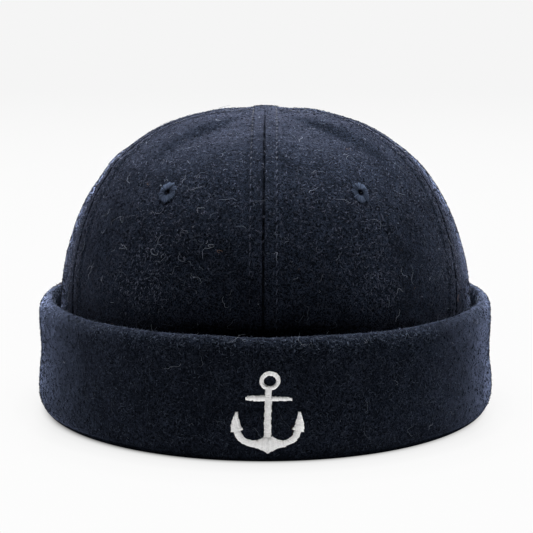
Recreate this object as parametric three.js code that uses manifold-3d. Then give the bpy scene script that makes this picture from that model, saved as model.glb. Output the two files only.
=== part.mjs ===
// Docker cap: a brimless cap of six felted wool panels with a deep turned-up cuff,
// two stitched eyelets and a satin-stitched anchor on the front of the cuff.
// Millimetres, +Z up, the wearer's front towards -Y. The origin lies on the surface
// that the cap stands on, under the middle of the cuff.
import * as THREE from 'three';
import { mergeVertices } from 'three/addons/utils/BufferGeometryUtils.js';
import Module from 'manifold-3d';

const wasm = await Module();
wasm.setup();
const { degToRad, smoothstep, lerp } = THREE.MathUtils;

// Air left between two pieces that are sewn or folded onto each other.
const GAP = 0.3;

// Outer form of the crown: its oval at the lower edge, its height, and the powers of its
// rounded profile. The point where the panels meet lies behind the middle, and the crown is
// sewn into the cuff with a slight twist, in degrees.
const CROWN = {
  halfWidth: 87.9,
  halfDepth: 102.4,
  foot: 2.5,
  top: 123.3,
  wall: 2.2,
  risePower: 3.25,
  spreadPower: 2.45,
  pointBack: 24.5,
  pointHole: 0.9,
  twist: -0.5,
};

// Seams on one half of the crown, front to back: the angle at the lower edge, measured
// round the oval from the front, and how far each seam has swung back at the point.
const SEAMS = [
  { angle: 0, swing: 0 },
  { angle: 57, swing: 17 },
  { angle: 120, swing: 12 },
  { angle: 180, swing: 0 },
];
const SWING_POWER = 1.3;

// Each seam lies in a groove between two raised strips, the seam allowances that are
// stitched down beside it. The cuff presses them flat lower down.
const STRIP = { width: 5.2, slope: 2.2, raise: 0.7, groove: 0.9, grooveWidth: 1.2 };
const PRESSED = { below: 16, above: 34 };

// Panels sag a little between the seams near the point.
const SAG = { depth: 1.1, centre: 0.74, reach: 0.14 };

// Panel grid: columns beside a seam at set distances (but no more than a share of the
// panel's width near the point), then even columns between, and rows up the panel.
const EDGE_COLUMNS = [
  { distance: GAP / 2, share: 0.08 },
  { distance: 1.4, share: 0.2 },
  { distance: STRIP.width, share: 0.32 },
  { distance: STRIP.width + STRIP.slope, share: 0.4 },
];
const MIDDLE_COLUMNS = 5;
const PANEL_ROWS = 17;

// Section of the cuff, as offsets out from the crown's lower edge and heights.
const CUFF = {
  height: 46.8,
  out: 7.7,
  wave: 0.4,
  leanIn: 0.75,
  bellyHeight: 11,
  lipHeight: 38,
  rollRise: 5.8,
  rollOutside: 4.2,
  rollInside: 2.2,
  roundRise: 8.5,
  roundRun: 5,
  hemHeight: 14,
  hemThick: 1.8,
  hemGap: 0.5,
  hemRound: 2.4,
  hemEdge: 0.6,
  gripHeight: 12,
  roundSteps: 4,
  faceSteps: 5,
  rollSteps: 7,
  sides: 76,
};

// Stitched eyelets: where they sit on the front panels, and their section as a spool.
const EYELET = {
  angle: 32,
  height: 96,
  bore: 1.1,
  shaft: 1.9,
  flange: 4.5,
  raise: 1.05,
  backGap: 0.75,
  sides: 16,
};

// Anchor: its lowest point on the cuff, its lean to the right, and the height of its stitches.
const ANCHOR = { x: 0.9, z: 3.9, lean: 1.45, raise: 0.9, edge: 0.35, step: 3.2 };
const RING = { y: 27.3, halfWidth: 3.13, halfHeight: 2.76, halfThread: 0.95, sides: 18 };
const ARMS = { y: 9.9, halfWidth: 12.3, drop: 6.5, end: 16, halfThread: 1.35, rows: 12 };
const FLUKE = [
  { x: 11.75, y: 8.1, half: 2.45 },
  { x: 11.8, y: 10.4, half: 1.75 },
  { x: 11.75, y: 13, half: 1.0 },
  { x: 11.6, y: 15.6, half: 0.2 },
];
const STROKES = {
  shank: [
    { x: 0, y: 24.9, half: 1.4 },
    { x: 0, y: 6.2, half: 1.5 },
  ],
  stock: [
    { x: -8.9, y: 20.7, half: 0.75 },
    { x: -6.5, y: 20.75, half: 1.1 },
    { x: 6.5, y: 20.65, half: 1.05 },
    { x: 8.9, y: 20.5, half: 0.7 },
  ],
  crown: [
    { x: 0, y: 6.7, half: 2.2 },
    { x: 0, y: 5.3, half: 4.3 },
    { x: 0, y: 3.4, half: 5.4 },
    { x: 0, y: 2.1, half: 3.5 },
    { x: 0, y: 0, half: 0.25 },
  ],
  flukeRight: FLUKE,
  flukeLeft: FLUKE.map((row) => ({ ...row, x: -row.x })),
};

const wool = (color) => new THREE.MeshStandardMaterial({ color, roughness: 0.95, metalness: 0 });
const thread = (color) => new THREE.MeshStandardMaterial({ color, roughness: 0.6, metalness: 0 });

// Closed body through a row of sections. Every section is a loop of the same even number of
// points whose first half runs along one face and whose second half runs back along the other.
function sweptSolid(sections, closed) {
  const loop = sections[0].length;
  const index = [];
  const quad = (a, b, c, d) => index.push(a, b, c, a, c, d);
  const last = closed ? sections.length : sections.length - 1;
  for (let row = 0; row < last; row += 1) {
    const here = row * loop;
    const next = ((row + 1) % sections.length) * loop;
    for (let i = 0; i < loop; i += 1) {
      const j = (i + 1) % loop;
      quad(here + i, here + j, next + j, next + i);
    }
  }
  if (!closed) {
    const end = (sections.length - 1) * loop;
    for (let i = 0; i < loop / 2 - 1; i += 1) {
      const across = loop - 1 - i;
      quad(i, across, across - 1, i + 1);
      quad(end + i, end + i + 1, end + across - 1, end + across);
    }
  }
  const geometry = new THREE.BufferGeometry().setFromPoints(sections.flat());
  geometry.setIndex(signedVolume(geometry, index) < 0 ? index.reverse() : index);
  return geometry;
}

function signedVolume(geometry, index) {
  const corner = [new THREE.Vector3(), new THREE.Vector3(), new THREE.Vector3()];
  const position = geometry.getAttribute('position');
  let volume = 0;
  for (let i = 0; i < index.length; i += 3) {
    corner.forEach((vertex, k) => vertex.fromBufferAttribute(position, index[i + k]));
    volume += corner[0].dot(corner[1].clone().cross(corner[2])) / 6;
  }
  return volume;
}

function toManifold(geometry) {
  return new wasm.Manifold(new wasm.Mesh({
    numProp: 3,
    vertProperties: Float32Array.from(geometry.getAttribute('position').array),
    triVerts: Uint32Array.from(geometry.getIndex().array),
  }));
}

function fromManifold(solid) {
  const mesh = solid.getMesh();
  const geometry = new THREE.BufferGeometry();
  geometry.setAttribute('position', new THREE.BufferAttribute(mesh.vertProperties, 3));
  geometry.setIndex(new THREE.BufferAttribute(mesh.triVerts, 1));
  return geometry;
}

// Profile of the crown from its lower edge to its point, at even steps of an angle, with the
// length run so far. Height and spread are powers of the sine and cosine of that angle.
const PROFILE = crownProfile(400);

function crownProfile(steps) {
  const rows = [];
  for (let i = 0; i <= steps; i += 1) {
    const angle = (i / steps) * Math.PI / 2;
    const spread = Math.max(Math.cos(angle), 0) ** (2 / CROWN.spreadPower);
    const height = lerp(CROWN.foot, CROWN.top, Math.sin(angle) ** (2 / CROWN.risePower));
    const before = rows.at(-1) ?? { spread, height, length: 0 };
    const step = Math.hypot(height - before.height, CROWN.halfWidth * (spread - before.spread));
    rows.push({ spread, height, length: before.length + step });
  }
  return rows;
}

// Row of the profile where a rising column (its length or its height) reaches a value.
function profileAt(column, value) {
  const found = PROFILE.findIndex((row) => row[column] >= value);
  const upper = PROFILE[found < 1 ? 1 : found];
  const lower = PROFILE[PROFILE.indexOf(upper) - 1];
  const part = (value - lower[column]) / (upper[column] - lower[column]);
  return {
    spread: lerp(lower.spread, upper.spread, part),
    height: lerp(lower.height, upper.height, part),
    length: lerp(lower.length, upper.length, part),
  };
}

// Point of the smooth crown, by the length run up its profile and the angle round its oval.
function crownPoint(length, angle) {
  const { spread, height } = profileAt('length', length);
  const turn = angle + degToRad(CROWN.twist);
  const x = CROWN.halfWidth * spread * Math.sin(turn);
  const y = CROWN.pointBack * (1 - spread) - CROWN.halfDepth * spread * Math.cos(turn);
  return new THREE.Vector3(x, y, height);
}

// Place on the smooth crown with its outward normal and its radius of turn.
function crownPlace(length, angle) {
  const tiny = 1e-3;
  const full = PROFILE.at(-1).length;
  const low = crownPoint(Math.max(length - tiny * full, 0), angle);
  const high = crownPoint(Math.min(length + tiny * full, full), angle);
  const around = crownPoint(length, angle + tiny).sub(crownPoint(length, angle - tiny));
  const normal = around.clone().cross(high.sub(low)).normalize();
  return { point: crownPoint(length, angle), normal, radius: around.length() / (2 * tiny) };
}

// Angle of a seam at a height: it swings back as it climbs.
function seamAngle(seam, height) {
  return degToRad(seam.angle + seam.swing * (height / CROWN.top) ** SWING_POWER);
}

// Rise of the cloth beside a seam: the stitched-down strip, less the groove of the seam.
function seamRise(distance, height) {
  const strip = STRIP.raise * (1 - smoothstep(distance, STRIP.width, STRIP.width + STRIP.slope));
  const groove = STRIP.groove * Math.exp(-((distance / STRIP.grooveWidth) ** 2));
  return (strip - groove) * smoothstep(height, PRESSED.below, PRESSED.above);
}

function panelSag(length, across) {
  const fromCentre = (length / PROFILE.at(-1).length - SAG.centre) / SAG.reach;
  return SAG.depth * Math.sin(Math.PI * across) ** 2 * Math.exp(-(fromCentre ** 2));
}

// Shares across a panel of a given width where its columns stand.
function columnShares(width) {
  const edge = EDGE_COLUMNS.map((column) => Math.min(column.distance / width, column.share));
  const first = edge.at(-1);
  const middle = [];
  for (let i = 1; i <= MIDDLE_COLUMNS; i += 1) {
    middle.push(lerp(first, 1 - first, i / (MIDDLE_COLUMNS + 1)));
  }
  return [...edge, ...middle, ...edge.map((share) => 1 - share).reverse()];
}

// One crown panel between two neighbouring seams, on the left (-1) or right (+1) half.
function panelGeometry(order, side) {
  const seams = [SEAMS[order], SEAMS[order + 1]];
  const tip = PROFILE.at(-1).length - CROWN.pointHole;
  const sections = [];
  for (let row = 0; row <= PANEL_ROWS; row += 1) {
    const length = tip * row / PANEL_ROWS;
    const { height } = profileAt('length', length);
    const [from, to] = seams.map((seam) => seamAngle(seam, height));
    const width = (to - from) * crownPlace(length, side * (from + to) / 2).radius;
    const faces = columnShares(width).map((across) => {
      const { point, normal } = crownPlace(length, side * lerp(from, to, across));
      const sag = panelSag(length, across);
      const rise = seamRise(width * Math.min(across, 1 - across), height);
      return {
        outer: point.clone().addScaledVector(normal, rise - sag),
        inner: point.clone().addScaledVector(normal, -CROWN.wall - sag),
      };
    });
    sections.push([...faces.map((face) => face.outer), ...faces.map((face) => face.inner).reverse()]);
  }
  return sweptSolid(sections, false);
}

// Middle of an eyelet on a front panel, and the turn from +Y to the panel's normal there.
function eyeletPlace(side) {
  const { length } = profileAt('height', EYELET.height);
  const angle = degToRad(EYELET.angle);
  const across = angle / seamAngle(SEAMS[1], EYELET.height);
  const { point, normal } = crownPlace(length, side * angle);
  const turn = new THREE.Quaternion().setFromUnitVectors(new THREE.Vector3(0, 1, 0), normal);
  return { point: point.addScaledVector(normal, -panelSag(length, across)), turn };
}

// Hole through a front panel that an eyelet's shaft passes through.
function withEyeletHole(panel, side) {
  const { point, turn } = eyeletPlace(side);
  const radius = EYELET.shaft + GAP;
  const drill = new THREE.CylinderGeometry(radius, radius, 6 * CROWN.wall, EYELET.sides);
  drill.deleteAttribute('normal');
  drill.deleteAttribute('uv');
  drill.applyQuaternion(turn);
  drill.translate(...point);
  return fromManifold(toManifold(panel).subtract(toManifold(mergeVertices(drill))));
}

// Stitched eyelet: a spool turned about +Y, bored through, whose flanges lie on both faces
// of the panel. Radii and heights above the panel's outer face, once round the section.
function eyeletGeometry() {
  const { bore, shaft, flange, raise } = EYELET;
  const inside = -CROWN.wall - EYELET.backGap;
  const spool = [
    { r: bore, h: inside - 0.3 * raise },
    { r: 0.5 * flange, h: inside - 0.7 * raise },
    { r: 0.8 * flange, h: inside - 0.5 * raise },
    { r: 0.85 * flange, h: inside },
    { r: shaft, h: inside },
    { r: shaft, h: GAP },
    { r: 0.97 * flange, h: GAP },
    { r: flange, h: 1.4 * GAP },
    { r: 0.87 * flange, h: 0.8 * raise },
    { r: 0.55 * flange, h: raise },
    { r: 1.3 * bore, h: 0.8 * raise },
    { r: bore, h: GAP },
  ];
  const outline = [...spool, spool[0]].map(({ r, h }) => new THREE.Vector2(r, h));
  return new THREE.LatheGeometry(outline, EYELET.sides);
}

// Offset of the cuff's outer face at a height: a rounded bottom edge under a face that leans
// in as it rises, and swells at the belly and again below the rolled top edge.
function cuffFace(height) {
  const rise = Math.max(height - CUFF.bellyHeight, 0) / (CUFF.lipHeight - CUFF.bellyHeight);
  const below = Math.max(1 - height / CUFF.roundRise, 0);
  const round = CUFF.roundRun * (1 - Math.sqrt(1 - below ** 2));
  return CUFF.out + CUFF.wave * Math.cos(2 * Math.PI * rise) - CUFF.leanIn * rise - round;
}

// Section of the cuff, once round: up the outer face, over the rolled top edge, down inside
// to the channel that holds the crown's lower edge, over the hem, and back under it.
function cuffSection() {
  const hemOuter = -CROWN.wall - CUFF.hemGap;
  const hemInner = hemOuter - CUFF.hemThick;
  const rollFoot = CUFF.height - CUFF.rollRise;
  const rollTop = cuffFace(rollFoot) - CUFF.rollOutside;
  const rows = [];
  for (let i = 0; i < CUFF.roundSteps; i += 1) {
    const height = CUFF.roundRise * (1 - Math.cos(Math.PI / 2 * i / CUFF.roundSteps));
    rows.push({ out: cuffFace(height), z: height });
  }
  for (let i = 0; i <= CUFF.faceSteps; i += 1) {
    const height = lerp(CUFF.roundRise, CUFF.lipHeight, i / CUFF.faceSteps);
    rows.push({ out: cuffFace(height), z: height });
  }
  for (let i = 0; i <= CUFF.rollSteps; i += 1) {
    const turn = Math.PI * i / CUFF.rollSteps;
    const half = Math.cos(turn) > 0 ? CUFF.rollOutside : CUFF.rollInside;
    rows.push({
      out: rollTop + half * Math.cos(turn),
      z: rollFoot + CUFF.rollRise * Math.sin(turn),
    });
  }
  rows.push(
    { out: GAP, z: CUFF.gripHeight },
    { out: GAP, z: CROWN.foot - GAP },
    { out: hemOuter, z: CROWN.foot - GAP },
    { out: hemOuter, z: CUFF.hemHeight - CUFF.hemEdge },
    { out: (hemOuter + hemInner) / 2, z: CUFF.hemHeight },
    { out: hemInner, z: CUFF.hemHeight - CUFF.hemEdge },
    { out: hemInner, z: CUFF.hemRound },
    { out: hemInner + CUFF.hemRound, z: 0 },
  );
  return rows;
}

// Point at an offset from the crown's lower edge, an angle round it and a height.
function cuffPoint(out, angle, height) {
  const x = (CROWN.halfWidth + out) * Math.sin(angle);
  const y = -(CROWN.halfDepth + out) * Math.cos(angle);
  return new THREE.Vector3(x, y, height);
}

function cuffGeometry() {
  const section = cuffSection();
  const sections = [];
  for (let i = 0; i < CUFF.sides; i += 1) {
    const angle = 2 * Math.PI * i / CUFF.sides;
    sections.push(section.map((row) => cuffPoint(row.out, angle, row.z)));
  }
  return sweptSolid(sections, true);
}

// Section of a satin-stitched stroke: a domed top over a flat back, across its path.
const STITCH_SECTION = [
  { across: -1, share: 0 },
  { across: -0.62, share: 0.8 },
  { across: 0, share: 1 },
  { across: 0.62, share: 0.8 },
  { across: 1, share: 0 },
];

// Flat stroke of stitches through rows of x, y and half width, x and y lying in the cloth.
function strokeGeometry(rows, closed) {
  const sections = rows.map((row, i) => {
    const before = rows[closed ? (i + rows.length - 1) % rows.length : Math.max(i - 1, 0)];
    const after = rows[closed ? (i + 1) % rows.length : Math.min(i + 1, rows.length - 1)];
    const along = new THREE.Vector2(after.x - before.x, after.y - before.y).normalize();
    const at = (across, h) => {
      const reach = across * row.half;
      return new THREE.Vector3(row.x - along.y * reach, row.y + along.x * reach, h);
    };
    const top = STITCH_SECTION.map(({ across, share }) => {
      return at(across, lerp(ANCHOR.edge, ANCHOR.raise, share));
    });
    const back = STITCH_SECTION.map(({ across }) => at(across, 0)).reverse();
    return [...top, ...back];
  });
  return sweptSolid(sections, closed);
}

// Rows of a stroke, with rows added so that none lie further apart than one step.
function fillRows(rows) {
  const filled = [rows[0]];
  for (let i = 1; i < rows.length; i += 1) {
    const [from, to] = [rows[i - 1], rows[i]];
    const parts = Math.ceil(Math.hypot(to.x - from.x, to.y - from.y) / ANCHOR.step);
    for (let k = 1; k <= parts; k += 1) {
      const part = k / parts;
      filled.push({
        x: lerp(from.x, to.x, part),
        y: lerp(from.y, to.y, part),
        half: lerp(from.half, to.half, part),
      });
    }
  }
  return filled;
}

function ringRows() {
  return Array.from({ length: RING.sides }, (_, i) => {
    const turn = 2 * Math.PI * i / RING.sides;
    return {
      x: RING.halfWidth * Math.cos(turn),
      y: RING.y + RING.halfHeight * Math.sin(turn),
      half: RING.halfThread,
    };
  });
}

function armRows() {
  return Array.from({ length: ARMS.rows + 1 }, (_, i) => {
    const turn = degToRad(lerp(180 + ARMS.end, 360 - ARMS.end, i / ARMS.rows));
    return {
      x: ARMS.halfWidth * Math.cos(turn),
      y: ARMS.y + ARMS.drop * Math.sin(turn),
      half: ARMS.halfThread,
    };
  });
}

// Anchor: its strokes joined flat, leant, and laid round the outer face of the cuff.
function anchorGeometry() {
  let flat = toManifold(strokeGeometry(ringRows(), true));
  flat = flat.add(toManifold(strokeGeometry(armRows(), false)));
  for (const rows of Object.values(STROKES)) {
    flat = flat.add(toManifold(strokeGeometry(fillRows(rows), false)));
  }
  const geometry = fromManifold(flat);
  const position = geometry.getAttribute('position');
  const lean = degToRad(-ANCHOR.lean);
  const point = new THREE.Vector3();
  for (let i = 0; i < position.count; i += 1) {
    point.fromBufferAttribute(position, i);
    const x = ANCHOR.x + point.x * Math.cos(lean) - point.y * Math.sin(lean);
    const z = ANCHOR.z + point.x * Math.sin(lean) + point.y * Math.cos(lean);
    const angle = x / (CROWN.halfWidth + CUFF.out);
    position.setXYZ(i, ...cuffPoint(cuffFace(z) + GAP + point.z, angle, z));
  }
  return geometry;
}

function part(name, geometry, material) {
  geometry.computeVertexNormals();
  const mesh = new THREE.Mesh(geometry, material);
  mesh.name = name;
  return mesh;
}

const cap = new THREE.Group();
cap.add(part('cuff', cuffGeometry(), wool(0x1c2333)));
for (const [hand, side] of [['left', -1], ['right', 1]]) {
  const front = withEyeletHole(panelGeometry(0, side), side);
  cap.add(part(`panel_front_${hand}`, front, wool(0x20283a)));
  cap.add(part(`panel_side_${hand}`, panelGeometry(1, side), wool(0x20283a)));
  cap.add(part(`panel_back_${hand}`, panelGeometry(2, side), wool(0x20283a)));
  const eyelet = part(`eyelet_${hand}`, eyeletGeometry(), thread(0x414a5e));
  const { point, turn } = eyeletPlace(side);
  eyelet.position.copy(point);
  eyelet.quaternion.copy(turn);
  cap.add(eyelet);
}
cap.add(part('anchor', anchorGeometry(), thread(0xd6d5d3)));

export default cap;
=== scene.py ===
# Docker cap of thick felted navy wool: six crown panels with topstitched seams, two stitched
# eyelets, a deep turned-up cuff and a white satin-stitched anchor. Metres, in the part's own
# frame: +Z up, the wearer's front towards -Y, the origin on the surface that the cap stands on.
import math

import bpy
import numpy as np
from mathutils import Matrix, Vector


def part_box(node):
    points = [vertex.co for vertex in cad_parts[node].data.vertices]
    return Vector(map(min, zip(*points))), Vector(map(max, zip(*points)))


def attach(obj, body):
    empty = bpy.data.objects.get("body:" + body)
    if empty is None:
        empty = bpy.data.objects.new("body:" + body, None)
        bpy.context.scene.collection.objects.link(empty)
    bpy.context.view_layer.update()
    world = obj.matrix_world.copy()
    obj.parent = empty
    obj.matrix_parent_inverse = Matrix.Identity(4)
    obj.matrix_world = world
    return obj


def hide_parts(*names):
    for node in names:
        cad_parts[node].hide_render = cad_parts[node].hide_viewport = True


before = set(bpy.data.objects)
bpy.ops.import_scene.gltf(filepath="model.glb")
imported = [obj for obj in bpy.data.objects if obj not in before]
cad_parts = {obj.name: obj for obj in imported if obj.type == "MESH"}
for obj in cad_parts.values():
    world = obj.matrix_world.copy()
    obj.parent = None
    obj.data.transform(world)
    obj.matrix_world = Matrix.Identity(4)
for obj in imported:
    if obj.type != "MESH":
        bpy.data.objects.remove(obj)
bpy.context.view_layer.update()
mm = 0.001

# Camera. The cap is seen from straight in front and a little above, through a long lens, and
# its middle sits just left of the picture's middle.
camera_distance = 747.7 * mm
camera_elevation = math.radians(8.53)
camera_target = np.array([0.5, 0.0, 57.1]) * mm
camera_lens = 118.8
camera_sensor = 36
camera_back = np.array([0.0, -math.cos(camera_elevation), math.sin(camera_elevation)])
camera_data = bpy.data.cameras.new("camera")
camera_data.sensor_width = camera_sensor
camera_data.lens = camera_lens
camera = bpy.data.objects.new("camera", camera_data)
camera.location = camera_target + camera_distance * camera_back
camera.rotation_euler = (math.pi / 2 - camera_elevation, 0, 0)
scene = bpy.context.scene
scene.collection.objects.link(camera)
scene.camera = camera

# Crown panels. Six shaped pieces of thick felted wool are sewn edge to edge into a dome. The
# seam allowances are stitched down inside, so a raised strip runs along both sides of each
# seam, and the cuff presses the panels flat at their lower edge.
crown_half_width = 87.9 * mm
crown_half_depth = 102.4 * mm
crown_foot = 2.5 * mm
crown_top = 123.3 * mm
crown_rise_power = 3.25
crown_spread_power = 2.45
crown_point_back = 24.5 * mm
crown_twist = math.radians(-0.5)
wool_wall = 2.2 * mm
seam_angles = np.radians([0, 57, 120, 180])
seam_swings = np.radians([0, 17, 12, 0])
seam_swing_power = 1.3
strip_width = 5.2 * mm
strip_slope = 2.2 * mm
strip_raise = 0.7 * mm
allowance = 1.0 * mm
edge_roll = 1.1 * mm
edge_drop = 0.35 * mm
slit_half = 0.4 * mm
side_slit_half = 0.75 * mm
slit_depth = 1.7 * mm
slit_edge = (0.6, 1.4)
slit_end = (0.82, 0.89)
stitch_row = 5.0 * mm
stitch_pitch = 3.4 * mm
furrow_bell = (stitch_row, 0.55 * mm, 0.4 * mm)
furrow_even = 0.65
pucker_layers = [(0.16 * mm, 4.5 * mm, 3)]
wave_layers = [(0.3 * mm, 17 * mm, 1), (0.1 * mm, 6 * mm, 2)]
pressed_between = (16 * mm, 34 * mm)
sag_bell = (0.74, 0.14, 1.1 * mm)
hollow_depth = 2.4 * mm
hollow_middles = np.array([[-22.8, -20.2], [27.2, -21.7]]) * mm
hollow_turns = np.radians([47, -43])
hollow_long = 22 * mm
hollow_wide = (26 * mm, 4.6 * mm)
shoulder_bell = (0.745, 0.085, 0.8 * mm)
bulge_bell = (0.603, 0.03, 0.9 * mm)
waist_bell = (0.47, 0.1, 0.4 * mm)
slack_bell = (0.925, 0.045, 0.9 * mm)
slack_held = 0.6
side_calm = 0.65
side_calm_between = (0.58, 0.74)
tuck_depth = 0.4 * mm
tuck_front_depth = 3.0 * mm
tuck_front_power = 8
tuck_between = (42 * mm, 61 * mm)

profile_turn = np.linspace(0, math.pi / 2, 4001)
profile_spread = np.cos(profile_turn).clip(0) ** (2 / crown_spread_power)
profile_rise = np.sin(profile_turn) ** (2 / crown_rise_power)
profile_height = crown_foot + (crown_top - crown_foot) * profile_rise
profile_steps = np.hypot(np.diff(profile_height), crown_half_width * np.diff(profile_spread))
profile_length = np.concatenate([[0], np.cumsum(profile_steps)])
crown_length = profile_length[-1]


def smooth_step(value, low, high):
    """Runs from 0 at low to 1 at high, level at both ends. High may be the smaller one."""
    share = np.clip((value - low) / (high - low), 0, 1)
    return share * share * (3 - 2 * share)


def bell(value, middle, width, height=1):
    """Falls from a height at the middle towards 0 on both sides, by the bell curve of a width."""
    return height * np.exp(-((value - middle) / width) ** 2)


def unit(vectors):
    return vectors / np.linalg.norm(vectors, axis=-1, keepdims=True)


def soft_noise(points, size, seed):
    """Smooth random heights from -1 to 1: each point blends eased shares of the seeded values
    at the eight corners of its lattice cell, whose sides have the given size."""
    period = 48
    lattice = np.random.default_rng(seed).uniform(-1, 1, (period, period, period))
    place = points / size
    cell = np.floor(place).astype(int)
    share = smooth_step(place - cell, 0, 1)
    height = np.zeros(points.shape[:-1])
    for corner in np.ndindex(2, 2, 2):
        weight = np.where(np.array(corner) == 1, share, 1 - share).prod(axis=-1)
        index = (cell + corner) % period
        height += weight * lattice[index[..., 0], index[..., 1], index[..., 2]]
    return height


def soft_waves(points, layers):
    """Sum of soft noises, each with its own height, size and seed."""
    return sum(height * soft_noise(points, size, seed) for height, size, seed in layers)


def crown_point(length, angle):
    """Smooth crown: an oval by angle, shrunk by the profile's spread at a length up the profile,
    raised to its height there and slid back towards the point where the panels meet."""
    spread = np.interp(length, profile_length, profile_spread)
    height = np.interp(length, profile_length, profile_height)
    x = crown_half_width * spread * np.sin(angle + crown_twist)
    y = crown_point_back * (1 - spread) - crown_half_depth * spread * np.cos(angle + crown_twist)
    return np.stack(np.broadcast_arrays(x, y, height), axis=-1)


def crown_axes(length, angle):
    """Directions up the profile, round the oval and out of the cloth, with the radius of turn,
    from small differences of the smooth crown."""
    tiny = 1e-3
    above = crown_point(np.minimum(length + tiny * crown_length, crown_length), angle)
    below = crown_point(np.maximum(length - tiny * crown_length, 0), angle)
    around = crown_point(length, angle + tiny) - crown_point(length, angle - tiny)
    radius = np.linalg.norm(around, axis=-1) / (2 * tiny)
    up = unit(above - below)
    around = unit(around)
    return up, around, unit(np.cross(around, up)), radius


def seam_at(length):
    """Angles of the four seams of one half: each swings back by a power of its height."""
    height = np.interp(length, profile_length, profile_height)
    share = (height / crown_top) ** seam_swing_power
    return seam_angles + seam_swings * np.asarray(share)[..., None]


def crown_surface(length, angle):
    """Outer and inner face of the sewn crown: the smooth crown, raised in strips beside the seams,
    rolled down into each seam, pulled in along the stitching and at the cuff, sagging mid-panel,
    hollow on both sides of the point, let out or drawn in at set heights, and softly uneven."""
    length, angle = np.broadcast_arrays(length, angle)
    up, around, out, radius = crown_axes(length, angle)
    point = crown_point(length, angle)
    turned = np.abs((angle + math.pi) % (2 * math.pi) - math.pi)
    seams = seam_at(length)
    order = (turned[..., None] >= seams[..., 1:3]).sum(axis=-1)[..., None]
    start, end = (np.take_along_axis(seams, order + k, axis=-1)[..., 0] for k in (0, 1))
    across = np.clip((turned - start) / (end - start), 0, 1)
    distance = np.minimum(turned - start, end - turned).clip(0) * radius
    nearest = order[..., 0] + (turned - start > end - turned)
    central = nearest % 3 == 0
    share = length / crown_length
    calm = np.where(central, 1, 1 - side_calm * smooth_step(share, *side_calm_between))
    strip = strip_raise * calm * (1 - smooth_step(distance, strip_width, strip_width + strip_slope))
    inside = np.clip(1 - distance / edge_roll, 0, 1)
    half = np.where(central, slit_half, side_slit_half)
    slit = slit_depth * (1 - smooth_step(distance / half, *slit_edge))
    fading = 1 - smooth_step(share, *slit_end)
    roll = fading * (slit + edge_drop * (1 - np.sqrt(1 - inside ** 2)))
    pull = furrow_even + (1 - furrow_even) * np.cos(2 * math.pi * length / stitch_pitch)
    furrow = pull * bell(distance, *furrow_bell)
    pucker = soft_waves(point, pucker_layers) * bell(distance, 0, stitch_row)
    pressed = smooth_step(point[..., 2], *pressed_between)
    sag = np.sin(math.pi * across) ** 2 * bell(share, *sag_bell)
    hollow = np.zeros_like(share)
    for middle, turn in zip(hollow_middles, hollow_turns):
        away = point[..., :2] - middle
        along = away[..., 0] * math.cos(turn) + away[..., 1] * math.sin(turn)
        aside = away[..., 1] * math.cos(turn) - away[..., 0] * math.sin(turn)
        aside = aside / np.where(aside < 0, *hollow_wide)
        hollow += hollow_depth * np.exp(-(along / hollow_long) ** 2 - aside ** 2)
    flank = np.sin(turned) ** 2
    ease = flank * (bell(share, *shoulder_bell) - bell(share, *waist_bell))
    ease += np.sin(np.minimum(angle, 0)) ** 2 * bell(share, *bulge_bell)
    slack = (1 - slack_held * strip / strip_raise) * bell(share, *slack_bell)
    tuck = tuck_depth + tuck_front_depth * np.cos(turned).clip(0) ** tuck_front_power
    tuck = tuck * (1 - smooth_step(point[..., 2], *tuck_between))
    pulled = sag + hollow + tuck + slack - ease
    rise = (strip - roll - furrow + pucker) * pressed - pulled + soft_waves(point, wave_layers)
    wall = wool_wall + pulled + allowance * (strip / strip_raise)
    return {
        "point": point + out * rise[..., None],
        "inner": point - out * wall[..., None],
        "up": up,
        "around": around,
        "out": out,
    }


def grid_quads(index):
    """Quads of a grid of indices whose columns run right and whose rows run up, seen from outside."""
    corners = [index[:-1, :-1], index[:-1, 1:], index[1:, 1:], index[1:, :-1]]
    return np.stack(corners, axis=-1)


def edge_strip(fine, coarse):
    """Faces between a run of points and a coarser run beside it, several fine steps to a coarse
    one, keeping the fine run's direction."""
    stride = (len(fine) - 1) // (len(coarse) - 1)
    steps = [fine[k:len(fine) - stride + k:stride] for k in range(stride)] + [fine[stride::stride]]
    return np.stack([*steps, coarse[1:], coarse[:-1]], axis=-1)


def add_piece(name, points, faces, material, smooth=True):
    """Mesh object from an array of points and a list of index arrays, each with one face a row."""
    mesh = bpy.data.meshes.new(name)
    mesh.vertices.add(points.size // 3)
    mesh.vertices.foreach_set("co", points.astype(np.float32).ravel())
    sizes = np.concatenate([np.full(len(part), part.shape[1]) for part in faces])
    corners = np.concatenate([part.ravel() for part in faces])
    mesh.loops.add(len(corners))
    mesh.loops.foreach_set("vertex_index", corners.astype(np.int32))
    mesh.polygons.add(len(sizes))
    mesh.polygons.foreach_set("loop_start", (np.cumsum(sizes) - sizes).astype(np.int32))
    mesh.update(calc_edges=True)
    mesh.polygons.foreach_set("use_smooth", np.full(len(sizes), smooth))
    mesh.materials.append(material)
    piece = bpy.data.objects.new(name, mesh)
    scene.collection.objects.link(piece)
    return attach(piece, "root")


def shader_node(tree, kind, inputs=None, **settings):
    """Shader node with its settings; each input is a value or the socket that feeds it."""
    made = tree.nodes.new("ShaderNode" + kind)
    for name, value in settings.items():
        setattr(made, name, value)
    for name, value in (inputs or {}).items():
        if isinstance(value, bpy.types.NodeSocket):
            tree.links.new(value, made.inputs[name])
        else:
            made.inputs[name].default_value = value
    return made


def maths(tree, operation, *inputs):
    """Result of a maths operation on values or sockets."""
    made = shader_node(tree, "Math", dict(enumerate(inputs)), operation=operation)
    return made.outputs[0]


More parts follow.
